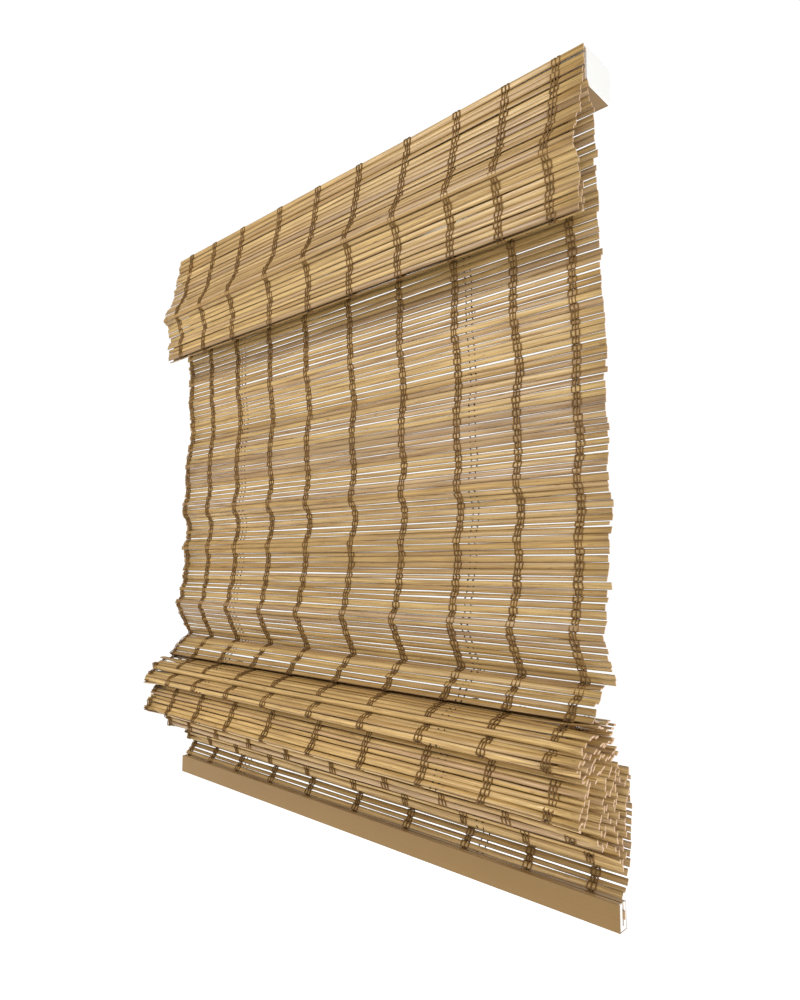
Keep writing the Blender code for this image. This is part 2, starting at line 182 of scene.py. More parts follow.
def newMaterial(name):
    material = bpy.data.materials.new(name)
    material.use_nodes = True
    tree = material.node_tree
    return material, tree, tree.nodes["Principled BSDF"]


def finishShader(tree, shader, look, base, gloss, height):
    # rough: roughness where the gloss mask is low and where it is high
    # bump: strength, and depth in metres
    tree.links.new(base, shader.inputs["Base Color"])
    tree.links.new(spread(tree, gloss, 0.3, 0.7, *look["rough"]), shader.inputs["Roughness"])
    strength, depth = look["bump"]
    bump = addNode(tree, "ShaderNodeBump", None, Strength=strength, Distance=depth, Height=height)
    tree.links.new(bump.outputs[0], shader.inputs["Normal"])


def makeFibreGroup():
    # streaks that run along X: noise from coordinates that change fast across X and slowly along it
    shape = {
        "fineDetail": 3.0,
        "fineRoughness": 0.62,
        "broad": (0.45, 0.16, 0.16),  # the same coordinates, slower
        "broadDetail": 2.0,
        "speck": (5.0, 0.5, 0.5),  # shorter along X
        "speckFrom": 0.68,
        "speckFull": 0.76,
    }
    group, inp, out = newGroup(
        "fibreStreaks",
        {"Length": 9.0, "Across": 1400.0, "Shift": 0.0},
        ("Fine", "Broad", "Specks"),
    )
    parts = addNode(group, "ShaderNodeSeparateXYZ", None, i0=objectCoords(group)).outputs
    x = mathNode(group, "MULTIPLY", parts[0], inp.outputs["Length"])
    x = mathNode(group, "ADD", x, inp.outputs["Shift"])
    y = mathNode(group, "MULTIPLY", parts[1], inp.outputs["Across"])
    z = mathNode(group, "MULTIPLY", parts[2], inp.outputs["Across"])
    at = addNode(group, "ShaderNodeCombineXYZ", None, i0=x, i1=y, i2=z).outputs[0]
    fine = noise(group, at, 1.0, shape["fineDetail"], Roughness=shape["fineRoughness"])
    broad = noise(group, scaled(group, at, shape["broad"]), 1.0, shape["broadDetail"])
    specks = noise(group, scaled(group, at, shape["speck"]), 1.0, 1.0)
    specks = spread(group, specks, shape["speckFrom"], shape["speckFull"])
    for number, value in enumerate((fine, broad, specks)):
        group.links.new(value, out.inputs[number])
    return group


def makeMottleGroup():
    # slow cloudy change over the surface, and a fine dust of the same noise at a high scale
    group, inp, out = newGroup("softMottle", {"Cloud": 12.0, "Dust": 900.0}, ("Cloud", "Dust"))
    coords = objectCoords(group)
    for number, detail in enumerate((3.0, 2.0)):
        group.links.new(noise(group, coords, inp.outputs[number], detail), out.inputs[number])
    return group


fibreGroup = makeFibreGroup()
mottleGroup = makeMottleGroup()


def bambooMaterial():
    look = {
        "golden": linearColour(190, 148, 76),
        "straw": linearColour(207, 177, 116),
        "blush": linearColour(184, 153, 115),
        "darkVein": linearColour(118, 80, 32),
        "edge": linearColour(78, 46, 14),
        "fibreLength": 15.0,
        "fibreAcross": 760.0,
        "shift": 40.0,  # moves the streaks from slat to slat
        "veins": 0.68,
        "pale": 0.35,
        "specks": 0.45,
        "edges": 0.8,
        "cloudLevel": (0.93, 1.08),
        "toneLevel": (0.78, 1.08),
        "rough": (0.5, 0.36),
        "bump": (0.45, 0.00035),
    }
    material, tree, shader = newMaterial("splitBamboo")
    tone = attributeValue(tree, "tone")
    shift = mathNode(tree, "MULTIPLY", tone, look["shift"])
    fibre = placeGroup(
        tree, fibreGroup, Length=look["fibreLength"], Across=look["fibreAcross"], Shift=shift
    ).outputs
    cloud = placeGroup(tree, mottleGroup, Cloud=7.0, Dust=700.0).outputs["Cloud"]
    fine = fibre["Fine"]
    base = mixColour(tree, tone, look["golden"], look["straw"])
    base = mixColour(tree, attributeValue(tree, "blush"), base, look["blush"])
    veins = spread(tree, fine, 0.36, 0.62, look["veins"], 0.0)
    base = mixColour(tree, veins, base, look["darkVein"])
    pale = spread(tree, fibre["Broad"], 0.48, 0.72, 0.0, look["pale"])
    base = mixColour(tree, pale, base, look["straw"])
    specks = mathNode(tree, "MULTIPLY", fibre["Specks"], look["specks"])
    base = mixColour(tree, specks, base, look["darkVein"])
    # painted shade: the long edges of each slat, where it meets the next, are darkened
    rim = mathNode(tree, "MULTIPLY", attributeValue(tree, "rim"), look["edges"])
    base = mixColour(tree, rim, base, look["edge"])
    level = spread(tree, cloud, 0.3, 0.7, *look["cloudLevel"])
    level = mathNode(tree, "MULTIPLY", level, spread(tree, tone, 0.0, 1.0, *look["toneLevel"]))
    # painted light: each stretch is made lighter or darker as a whole, the stack lightest, standing
    # in for how much light falls on it
    level = mathNode(tree, "MULTIPLY", level, attributeValue(tree, "fresh"))
    grey = addNode(tree, "ShaderNodeCombineColor", None, i0=level, i1=level, i2=level).outputs[0]
    base = mixColour(tree, 1.0, base, grey, "MULTIPLY")
    finishShader(tree, shader, look, base, fine, fine)
    return material


def cutEndMaterial():
    look = {
        "pale": linearColour(250, 222, 194),
        "pore": linearColour(186, 132, 92),
        "pores": 0.65,
        "patches": 0.3,
        "rough": (0.7, 0.9),
        "bump": (0.6, 0.0003),
    }
    material, tree, shader = newMaterial("bambooCutEnd")
    mottle = placeGroup(tree, mottleGroup, Cloud=260.0, Dust=2600.0).outputs
    pores = spread(tree, mottle["Dust"], 0.42, 0.62, look["pores"], 0.0)
    base = mixColour(tree, pores, look["pale"], look["pore"])
    base = mixColour(tree, patches(tree, mottle["Cloud"], look["patches"]), base, look["pore"])
    finishShader(tree, shader, look, base, mottle["Dust"], mottle["Dust"])
    return material


def yarnMaterial(name, light, dark):
    # a twisted yarn: the twist is a slanted wave on the strand's own UV map
    look = {
        "knot": linearColour(46, 28, 8),
        "gapShadeStrength": 0.9,
        "twistShade": 0.85,
        "patches": 0.4,
        "fuzz": 0.35,
        "rough": (0.75, 0.95),
        "bump": (0.7, 0.0003),
    }
    material, tree, shader = newMaterial(name)
    uv = addNode(tree, "ShaderNodeUVMap", {"uv_map": "strand"}).outputs[0]
    slanted = {"bands_direction": "DIAGONAL"}
    twist = addNode(tree, "ShaderNodeTexWave", slanted, Vector=uv, Scale=1.0, Distortion=0.6)
    twist = twist.outputs["Fac"]
    mottle = placeGroup(tree, mottleGroup, Cloud=60.0, Dust=2500.0).outputs
    # painted shade: the valleys of the twist are darker
    base = mixColour(tree, spread(tree, twist, 0.0, 1.0, look["twistShade"], 0.0), light, dark)
    base = mixColour(tree, patches(tree, mottle["Cloud"], look["patches"]), base, dark)
    fuzz = spread(tree, mottle["Dust"], 0.55, 0.75, 0.0, look["fuzz"])
    base = mixColour(tree, fuzz, base, light)
    # painted shade: the strands turn dark where they go into the gaps between slats
    knot = spread(tree, attributeValue(tree, "knot"), 0.25, 1.0, 0.0, look["gapShadeStrength"])
    base = mixColour(tree, knot, base, look["knot"])
    height = mathNode(tree, "ADD", twist, mathNode(tree, "MULTIPLY", mottle["Dust"], 0.5))
    finishShader(tree, shader, look, base, mottle["Dust"], height)
    return material


def wrapMaterial():
    # wood-tone wrap: printed grain along X with a satin face
    look = {
        "brown": linearColour(141, 109, 57),
        "deep": linearColour(128, 97, 48),
        "grain": 0.35,
        "patches": 0.3,
        "rough": (0.34, 0.48),
        "bump": (0.16, 0.0002),
    }
    material, tree, shader = newMaterial("tanWrap")
    fine = placeGroup(tree, fibreGroup, Length=4.0, Across=520.0, Shift=3.0).outputs["Fine"]
    mottle = placeGroup(tree, mottleGroup, Cloud=9.0, Dust=1600.0).outputs
    grain = spread(tree, fine, 0.35, 0.65, look["grain"], 0.0)
    base = mixColour(tree, grain, look["brown"], look["deep"])
    base = mixColour(tree, patches(tree, mottle["Cloud"], look["patches"]), base, look["deep"])
    height = mathNode(tree, "ADD", fine, mathNode(tree, "MULTIPLY", mottle["Dust"], 0.4))
    finishShader(tree, shader, look, base, mottle["Dust"], height)
    return material


def mouldedMaterial(name, colour, shade, rough):
    # moulded plastic: a faint pebble in the height, cloudy gloss, and a slightly dirty second shade
    look = {"dirt": 0.6, "rough": rough, "bump": (0.12, 0.0002)}
    material, tree, shader = newMaterial(name)
    mottle = placeGroup(tree, mottleGroup, Cloud=35.0, Dust=2200.0).outputs
    dirt = spread(tree, mottle["Cloud"], 0.5, 0.78, 0.0, look["dirt"])
    base = mixColour(tree, dirt, colour, shade)
    finishShader(tree, shader, look, base, mottle["Cloud"], mottle["Dust"])
    return material


def railCoreMaterial():
    # white where the rail was cut to length, printed brown along its faces:
    # a step on the distance from the middle
    look = {
        "cut": linearColour(252, 250, 246),
        "face": linearColour(186, 156, 108),
        "stain": linearColour(150, 118, 74),
        "cutFrom": 0.3795,
        "cutFull": 0.3803,
        "rough": (0.45, 0.6),
        "bump": (0.12, 0.0002),
    }
    material, tree, shader = newMaterial("railCore")
    parts = addNode(tree, "ShaderNodeSeparateXYZ", None, i0=objectCoords(tree)).outputs
    away = mathNode(tree, "ABSOLUTE", parts[0])
    mottle = placeGroup(tree, mottleGroup, Cloud=14.0, Dust=1800.0).outputs
    face = mixColour(tree, patches(tree, mottle["Cloud"], 1.0), look["face"], look["stain"])
    cut = spread(tree, away, look["cutFrom"], look["cutFull"])
    base = mixColour(tree, cut, face, look["cut"])
    finishShader(tree, shader, look, base, mottle["Dust"], mottle["Dust"])
    return material


def steelMaterial():
    # drawn wire: fine streaks in the shade and in the gloss
    look = {
        "bright": linearColour(196, 196, 198),
        "dull": linearColour(138, 139, 142),
        "rough": (0.24, 0.42),
        "bump": (0.1, 0.0001),
    }
    material, tree, shader = newMaterial("drawnSteel")
    fine = placeGroup(tree, fibreGroup, Length=30.0, Across=2600.0, Shift=1.0).outputs["Fine"]
    base = mixColour(tree, spread(tree, fine, 0.35, 0.65), look["bright"], look["dull"])
    shader.inputs["Metallic"].default_value = 1.0
    finishShader(tree, shader, look, base, fine, fine)
    return material


def hookMaterial():
    # small hooks: a raised dot in the middle of every cell
    look = {
        "pale": linearColour(222, 216, 204),
        "dark": linearColour(150, 142, 128),
        "cells": 900.0,
        "rough": 0.9,
        "bump": (0.8, 0.0006),
    }
    material, tree, shader = newMaterial("hookTape")
    coords = objectCoords(tree)
    cells = addNode(tree, "ShaderNodeTexVoronoi", None, Vector=coords, Scale=look["cells"])
    far = cells.outputs["Distance"]
    # painted shade: darker away from each hook, on the low ground between them
    base = mixColour(tree, spread(tree, far, 0.0, 0.7), look["pale"], look["dark"])
    tree.links.new(base, shader.inputs["Base Color"])
    shader.inputs["Roughness"].default_value = look["rough"]
    strength, depth = look["bump"]
    inward = {"invert": True}
    bump = addNode(tree, "ShaderNodeBump", inward, Strength=strength, Distance=depth, Height=far)
    tree.links.new(bump.outputs[0], shader.inputs["Normal"])
    return material


bamboo = bambooMaterial()
cutEnd = cutEndMaterial()
yarn = yarnMaterial("brownYarn", linearColour(152, 112, 54), linearColour(80, 52, 16))
stitchCord = yarnMaterial("stitchCord", linearColour(52, 32, 12), linearColour(24, 14, 4))
tanWrap = wrapMaterial()
whitePlastic = mouldedMaterial(
    "whiteMoulded", linearColour(252, 252, 250), linearColour(240, 238, 232), (0.38, 0.5)
)
greyPlastic = mouldedMaterial(
    "greyMoulded", linearColour(120, 122, 125), linearColour(92, 92, 94), (0.4, 0.55)
)
railCore = railCoreMaterial()
steel = steelMaterial()
hooks = hookMaterial()
print("materials made")


# woven cloth
def runningLength(curve):
    # distance along a line of points, from its first point to each of them
    steps = np.linalg.norm(np.diff(curve, axis=0), axis=1)
    return np.concatenate([[0.0], np.cumsum(steps)])


def smoothPath(points, samples=600):
    # cubic Hermite curve through the points, with slopes from the neighbouring points
    # and the distance between the points as its parameter
    p = np.asarray(points, float)
    t = runningLength(p)
    slope = np.gradient(p, t, axis=0)
    q = np.linspace(0.0, t[-1], samples)
    i = np.clip(np.searchsorted(t, q, side="right") - 1, 0, len(t) - 2)
    h = (t[i + 1] - t[i])[:, None]
    u = (q - t[i])[:, None] / h
    curve = (
        (2 * u**3 - 3 * u**2 + 1) * p[i]
        + (u**3 - 2 * u**2 + u) * h * slope[i]
        + (3 * u**2 - 2 * u**3) * p[i + 1]
        + (u**3 - u**2) * h * slope[i + 1]
    )
    return curve, runningLength(curve)


def pointAt(path, s):
    curve, length = path
    return np.stack(
        [np.interp(s, length, curve[:, 0]), np.interp(s, length, curve[:, 1])], axis=-1
    )


def alongPath(path, s, step=0.0015):
    # position, direction and front-facing normal at distances s along the path, in the Y-Z plane:
    # the direction is from a step behind to a step ahead, and the normal is it turned square
    direction = pointAt(path, s + step) - pointAt(path, s - step)
    direction /= np.linalg.norm(direction, axis=-1, keepdims=True)
    normal = np.stack([direction[..., 1], -direction[..., 0]], axis=-1)
    return pointAt(path, s), direction, normal


slatShape = {
    "halfWidth": 0.381,
    "stations": 18,  # along X
    "uneven": 0.13,  # spread of the slat widths, as a share of the pitch
    "unevenLimits": (0.72, 1.4),
    "shareSpread": 0.04,
    "shareBelow": 0.1,  # the narrowest slat's share is this much less than the usual one
    "jog": 0.0004,  # how far a slat stands in or out of the cloth
    "sway": 0.00032,  # slow bend of a slat in the plane of the cloth
    "swayWave": (0.25, 0.9),
    "quickSway": (0.6, 0.4),  # a second, quicker bend: its height and its length against the first
    "bow": 0.6,  # bend square to the cloth against the sway
    "swell": 0.05,  # change of a slat's width along it
    "across": (-1.0, -0.82, 0.0, 0.82, 1.0, 0.82, 0.0, -0.82),  # section, over half its width
    "deep": (0.0, 0.86, 1.0, 0.86, 0.0, -0.86, -1.0, -0.86),  # section, over half its thickness
    "rimPower": 6,  # how tight to the edges the painted edge shade keeps
    "blushed": (0.35, 0.85),
    "unblushed": (0.0, 0.18),
}
crumpleShape = {
    "from": 0.285,  # the crumpled ends start this far from the middle
    "otherEnd": 1.9,  # how far the left end's waves are shifted, in radians
    "second": 0.5,  # height of the second wave against the first
    "quicker": 2.3,
    "shift": 1.0,
}
bulgeShape = {"from": -0.05, "at": -0.42, "high": 0.11, "power": 1.5}
yarnShape = {
    "radius": 0.00074,
    "sides": 5,
    "front": 3,  # strands in front of the slats
    "back": 2,
    "wide": 0.0048,  # lane spacing over every second slat
    "narrow": 0.0034,
    "gap": 0.0034,
    "reach": 0.42,  # from a slat's middle to a strand's turn into the gap, as a share of the pitch
    "press": 0.8,  # how far a strand's middle stands off the slat, in radii
    "rise": 0.45,  # height of a strand in a gap, as a share of its height over a slat
    "dive": -0.3,  # the same where it goes behind the others
    "backSpread": 0.0026,
    "backGather": 0.35,
    "backDepth": -0.1,
    "lean": 0.0005,  # drift of a column sideways from slat to slat
    "jitter": 0.00022,
    "twistPitch": 0.0028,
}
stitchShape = {
    "places": (-0.2265, -0.2175, 0.2135, 0.2215),
    "radius": 0.0007,
    "sides": 5,
    "front": 0.0010,
    "back": 0.0012,
    "dip": 0.2,  # how soon it leaves the gap again, as a share of the pitch
    "wander": 0.0004,
    "smoothing": 9,  # stops that the wander is averaged over
}
mainColumns = np.array([-372, -310, -237, -155, -72, 20, 109, 196, 277, 349]) / 1000.0
valanceColumns = np.array([-341, -274, -196, -104, -20, 61, 144, 222, 288, 350]) / 1000.0


def standOff(x, s, look):
    # offset square to the cloth: two sine waves along it that grow near both ends of the slats
    shape = crumpleShape
    room = slatShape["halfWidth"] - shape["from"]
    grow = np.clip((np.abs(x) - shape["from"]) / room, 0.0, 1.0)
    turn = 2 * np.pi * s / look["wave"] + look["phase"]
    side = np.where(x > 0, 0.0, shape["otherEnd"])
    second = np.sin(shape["quicker"] * turn + 2 * side + shape["shift"])
    return look["crumple"] * grow**2 * (np.sin(turn + side) + shape["second"] * second)


def bulge(x, z, look):
    # how far the cloth stands forward: a bell curve in height that grows towards the left
    shape = bulgeShape
    leftward = np.clip((shape["from"] - x) / (shape["from"] + slatShape["halfWidth"]), 0.0, 1.0)
    bell = np.exp(-(((z - shape["at"]) / shape["high"]) ** 2))
    return look["bulge"] * leftward ** shape["power"] * bell


def middles(edges):
    return 0.5 * (edges[1:] + edges[:-1])


def slatMesh(name, path, count, look):
    # every slat is a rounded bar: an eight-sided section carried along X, swayed by slow sine waves
    shape = slatShape
    m = shape["stations"]
    pitch = np.clip(rng.normal(1.0, shape["uneven"], count), *shape["unevenLimits"])
    edges = np.concatenate([[0.0], np.cumsum(pitch)]) * path[1][-1] / pitch.sum()
    pitch = np.diff(edges)
    s = middles(edges)
    place, direction, normal = alongPath(path, s)
    turn = np.radians(rng.normal(0.0, look["tilt"], count))[:, None]
    direction, normal = (
        direction * np.cos(turn) + normal * np.sin(turn),
        normal * np.cos(turn) - direction * np.sin(turn),
    )
    place = place + normal * rng.normal(0.0, shape["jog"], count)[:, None]
    closed = rng.uniform(0.0, 1.0, count) < look["closed"]
    share = np.where(closed, look["full"], rng.normal(look["share"], shape["shareSpread"], count))
    width = pitch * np.clip(share, look["share"] - shape["shareBelow"], look["full"])
    reach = shape["halfWidth"] - look["trim"]
    left = -reach + rng.normal(0.0, look["ragged"], count)
    right = reach + rng.normal(0.0, look["ragged"], count)
    x = left[:, None] + (right - left)[:, None] * np.linspace(0.0, 1.0, m)[None, :]

    wave = rng.uniform(*shape["swayWave"], (2, count, 1))
    phase = rng.uniform(0.0, 2 * np.pi, (3, count, 1))
    high, short = shape["quickSway"]
    slow = np.sin(2 * np.pi * x / wave[0] + phase[0])
    quick = np.sin(2 * np.pi * x / (short * wave[1]) + phase[1])
    sway = shape["sway"] * (slow + high * quick)
    bow = shape["bow"] * shape["sway"] * np.sin(2 * np.pi * x / wave[1] + phase[2])
    bow = bow + standOff(x, s[:, None], look)
    swell = 1 + shape["swell"] * np.sin(2 * np.pi * x / wave[0] + phase[1])
    breadth = 0.5 * width[:, None] * swell
    across, deep = np.array(shape["across"]), np.array(shape["deep"])
    a = (sway[:, :, None] + breadth[:, :, None] * across)[..., None]
    b = (bow[:, :, None] + look["thickness"] / 2 * deep)[..., None]
    yz = place[:, None, None, :] + a * direction[:, None, None, :] + b * normal[:, None, None, :]
    yz[..., 0] -= bulge(x, place[:, 1:], look)[:, :, None]

    sides = len(across)
    xOnSection = np.broadcast_to(x[:, :, None, None], yz.shape[:3] + (1,))
    points = np.concatenate([xOnSection, yz], axis=-1)
    index = np.arange(count * m * sides).reshape(count, m, sides)
    after = np.roll(index, -1, axis=2)
    quads = np.stack([index[:, :-1], index[:, 1:], after[:, 1:], after[:, :-1]], axis=-1)
    quads = quads.reshape(-1, 4)
    caps = np.concatenate([index[:, 0, :], index[:, -1, ::-1]])
    which = np.concatenate([np.zeros(len(quads), int), np.ones(len(caps), int)])
    faces = quads.tolist() + caps.tolist()
    obj = meshObject(name, points.reshape(-1, 3), faces, [bamboo, cutEnd], which)
    obj.data.polygons.foreach_set("use_smooth", which == 0)

    tone = rng.uniform(look["tone"][0], look["tone"][1], count)
    blushed = rng.uniform(0, 1, count) < look["blush"]
    much = rng.uniform(*shape["blushed"], count)
    blush = np.where(blushed, much, rng.uniform(*shape["unblushed"], count))
    addAttribute(obj, "tone", np.repeat(tone, m * sides))
    addAttribute(obj, "blush", np.repeat(blush, m * sides))
    # painted light: one brightness for the whole stretch
    addAttribute(obj, "fresh", np.full(count * m * sides, look["fresh"]))
    # painted shade, strongest at the slat's long edges
    addAttribute(obj, "rim", np.tile(np.abs(across) ** shape["rimPower"], count * m))
    return obj, edges, place, normal


def tubeMesh(name, centre, outward, radius, sides, distance, material):
    # a ring of points round each place on a centre line, square to the line there.
    # The UV map runs once round the tube, and along it in turns of the yarn's twist
    strands, stations = centre.shape[:2]
    along = np.gradient(centre, axis=1)
    along /= np.linalg.norm(along, axis=-1, keepdims=True)
    outward = outward - (outward * along).sum(axis=-1, keepdims=True) * along
    outward /= np.linalg.norm(outward, axis=-1, keepdims=True)
    sideways = np.cross(outward, along)
    angle = (2 * np.pi * np.arange(sides) / sides)[None, None, :, None]
    ring = np.cos(angle) * sideways[:, :, None, :] + np.sin(angle) * outward[:, :, None, :]
    points = centre[:, :, None, :] + radius * ring
    index = np.arange(strands * stations * sides).reshape(strands, stations, sides)
    after = np.roll(index, -1, axis=2)
    quads = np.stack([index[:, :-1], after[:, :-1], after[:, 1:], index[:, 1:]], axis=-1)
    caps = np.concatenate([index[:, 0, ::-1], index[:, -1, :]])
    faces = quads.reshape(-1, 4).tolist() + caps.tolist()
    obj = meshObject(name, points.reshape(-1, 3), faces, [material])

    shape = (strands, stations - 1, sides)
    here = np.broadcast_to(np.arange(sides) / sides, shape)
    u = np.stack([here, here + 1 / sides, here + 1 / sides, here], axis=-1)
    low = np.broadcast_to(distance[:, :-1, None], shape)
    high = np.broadcast_to(distance[:, 1:, None], shape)
    v = np.stack([low, low, high, high], axis=-1) / yarnShape["twistPitch"]
    uv = np.concatenate([np.stack([u, v], axis=-1).reshape(-1, 2), np.zeros((caps.size, 2))])
    obj.data.uv_layers.new(name="strand").data.foreach_set("uv", uv.astype(np.float32).ravel())
    return obj


def clothLine(path, edges, shares):
    # stops along the cloth: each share of the pitch from a slat's middle, and one at the very end
    s, pitch = middles(edges), np.diff(edges)
    stops = (s[:, None] + pitch[:, None] * np.array(shares)[None, :]).ravel()
    stops = np.append(stops, edges[-1])
    isGap = np.append(np.tile(np.arange(len(shares)) == 0, len(s)), True)
    lineAt, _, lineNormal = alongPath(path, stops)
    return stops, isGap, lineAt, lineNormal


def strandLine(x, depth, stops, lineAt, lineNormal, look):
    # Y and Z of a strand: the cloth's line, moved by its depth, the crumple and the bulge
    yz = lineAt + (depth + standOff(x, stops, look))[:, None] * lineNormal
    yz[:, 0] -= bulge(x, lineAt[:, 1], look)
    return yz


def yarnMesh(name, columns, path, edges, place, normal, look):
    # three strands run in front of every slat and two behind it. In each gap the front strands
    # change lanes: two step one lane over and the third goes back two lanes behind them
    shape = yarnShape
    reach, front = shape["reach"], shape["front"]
    stops, isGap, lineAt, lineNormal = clothLine(path, edges, (-0.5, -reach, reach))
    s = middles(edges)
    count = len(s)
    own = np.concatenate([np.repeat(np.arange(count), 3), [count - 1]])
    lift = ((place[own] - alongPath(path, s)[0][own]) * normal[own]).sum(axis=-1)
    wide = np.where(own % 2 == 0, shape["wide"], shape["narrow"])
    high = look["thickness"] / 2 + shape["press"] * shape["radius"]
    centre = []
    for column in columns:
        lean = np.cumsum(rng.normal(0.0, shape["lean"], count + 1))
        lean -= np.linspace(0.0, lean[-1], count + 1)
        for strand in range(front + shape["back"]):
            if strand < front:
                lane = (strand + own) % front - 1
                before = (strand + own - 1) % front - 1
                x = np.where(isGap, 0.5 * (lane + before), lane)
                x = x * np.where(isGap, shape["gap"], wide)
                inGap = np.where(np.abs(lane - before) > 1, shape["dive"], shape["rise"]) * high
                depth = np.where(isGap, inGap, high + lift)
            else:
                sideOf = 2 * (strand - front) - 1
                x = sideOf * np.where(isGap, shape["backGather"], 1.0) * shape["backSpread"]
                depth = np.where(isGap, shape["backDepth"] * high, lift - high)
            x = column + x + lean[own] + rng.normal(0.0, shape["jitter"], len(own))
            yz = strandLine(x, depth, stops, lineAt, lineNormal, look)
            centre.append(np.column_stack([x, yz]))
    centre = np.array(centre)
    outward = np.broadcast_to(np.column_stack([np.zeros(len(stops)), lineNormal]), centre.shape)
    distance = np.broadcast_to(stops, centre.shape[:2])
    obj = tubeMesh(name, centre, outward, shape["radius"], shape["sides"], distance, yarn)
    # painted shade where the strands pass through the gaps
    addAttribute(obj, "knot", np.tile(np.repeat(isGap, shape["sides"]), len(centre)))
    return obj


def stitchMesh(name, path, edges, look):
    # thin cords sewn to the back of the cloth, each coming through to the front in every gap
    shape = stitchShape
    dip = shape["dip"]
    shares = (-0.5, dip - 0.5, 0.0, 0.5 - dip)
    stops, isGap, lineAt, lineNormal = clothLine(path, edges, shares)
    depth = np.where(isGap, shape["front"], -shape["back"])
    window = shape["smoothing"]
    centre = []
    for x in shape["places"]:
        wander = rng.normal(0.0, shape["wander"], len(stops) + window - 1)
        wander = np.convolve(wander, np.ones(window) / math.sqrt(window), "valid")
        yz = strandLine(x, depth, stops, lineAt, lineNormal, look)
        centre.append(np.column_stack([x + wander, yz]))
    centre = np.array(centre)
    outward = np.broadcast_to(np.column_stack([np.zeros(len(stops)), lineNormal]), centre.shape)
    distance = np.broadcast_to(stops, centre.shape[:2])
    obj = tubeMesh(name, centre, outward, shape["radius"], shape["sides"], distance, stitchCord)
    # painted shade where the cords pass through the gaps
    addAttribute(obj, "knot", np.tile(np.repeat(isGap, shape["sides"]), len(centre)))
    return obj


# what every kind of cloth has unless it says otherwise
# pitch in mm, tilt in degrees, the rest in metres
# ragged: spread of the slats' ends; trim: how much shorter they are at each end
# crumple, wave: height and length of the waves near the ends; bulge: how far it stands forward
usualCloth = {
    "pitch": 7.0,
    "thickness": 0.0012,
    "tilt": 4.0,
    "ragged": 0.0009,
    "trim": 0.0,
    "crumple": 0.0008,
    "wave": 0.021,
    "bulge": 0.0,
}
# share: slat width over pitch where a gap shows; closed: how many gaps don't show
# full: slat width over pitch where it doesn't; tone, blush: colour of the slats; fresh: painted
# light, one brightness for the whole stretch, highest on the stack where most light falls
clothLook = {
    "flat": {
        "share": 0.885, "closed": 0.5, "full": 0.985,
        "tone": (0.12, 0.82), "blush": 0.34, "fresh": 1.0,
        "bulge": 0.010,
    },
    "valance": {
        "share": 0.965, "closed": 0.75, "full": 1.02,
        "tone": (0.1, 1.0), "blush": 0.22, "fresh": 1.03,
        "thickness": 0.0013, "tilt": 4.5,
    },
    "stack": {
        "share": 0.955, "closed": 0.75, "full": 1.01,
        "tone": (0.3, 1.0), "blush": 0.2, "fresh": 1.24,
        "pitch": 6.4, "thickness": 0.0019, "tilt": 8.0, "ragged": 0.0010, "trim": 0.001,
        "crumple": 0.0031, "wave": 0.018,
    },
    "shelf": {
        "share": 0.95, "closed": 0.7, "full": 1.0,
        "tone": (0.1, 0.9), "blush": 0.25, "fresh": 1.05,
        "pitch": 6.6, "thickness": 0.0013, "ragged": 0.0012, "trim": 0.009, "crumple": 0.0010,
    },
    "open": {
        "share": 0.85, "closed": 0.2, "full": 0.96,
        "tone": (0.1, 0.9), "blush": 0.35, "fresh": 1.08,
        "pitch": 7.2, "tilt": 3.5, "crumple": 0.0006,
    },
}
